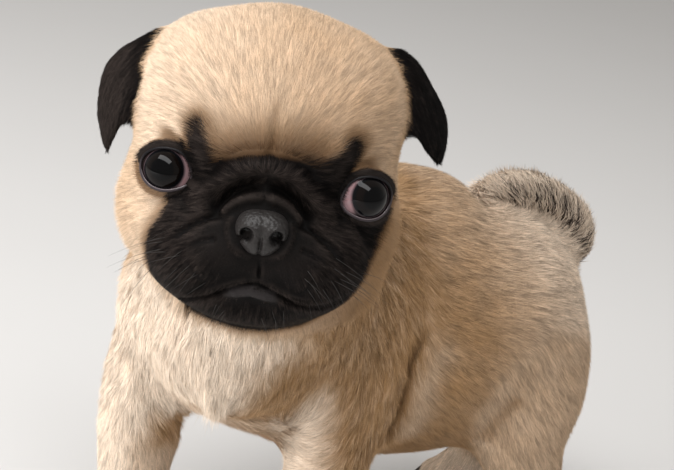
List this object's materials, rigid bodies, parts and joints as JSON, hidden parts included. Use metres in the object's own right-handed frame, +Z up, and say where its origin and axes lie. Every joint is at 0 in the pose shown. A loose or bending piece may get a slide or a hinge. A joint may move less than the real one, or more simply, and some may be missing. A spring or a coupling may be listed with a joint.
{
  "type": "pug puppy",
  "caption": "Still, life-size model of a standing fawn pug puppy with a black face and ears, its head turned to its left and its short tail carried over the back.",
  "frame": {"origin": "middle of the animal's outline seen from above, on the floor that its paws stand on", "axes": "+Z up; the body runs along Y with the head towards -Y; the puppy's left is +X and its face is turned some 50 degrees from -Y towards +X"},
  "size_m": [0.1239, 0.2188, 0.2308],
  "materials": {
    "coat_fawn": "short dense fawn hair",
    "coat_cream": "short pale hair, longer and looser on the chest and tail",
    "coat_black": "very short velvety black hair",
    "nose_leather": "damp and pebbled",
    "eye": "wet and glossy"
  },
  "bodies": {
    "root": {"belly": "coat_fawn", "chest": "coat_cream", "ear_left": "coat_black", "ear_right": "coat_black", "eye_left": "eye", "eye_right": "eye", "foreleg_left": "coat_cream", "foreleg_right": "coat_cream", "forepaw_left": "coat_cream", "forepaw_right": "coat_cream", "head": "coat_fawn", "hindleg_left": "coat_cream", "hindleg_right": "coat_cream", "hindpaw_left": "coat_cream", "hindpaw_right": "coat_cream", "muzzle": "coat_black", "neck": "coat_fawn", "nose": "nose_leather", "rump": "coat_fawn", "tail": "coat_cream", "thigh_left": "coat_fawn", "thigh_right": "coat_fawn"}
  },
  "joints": []
}
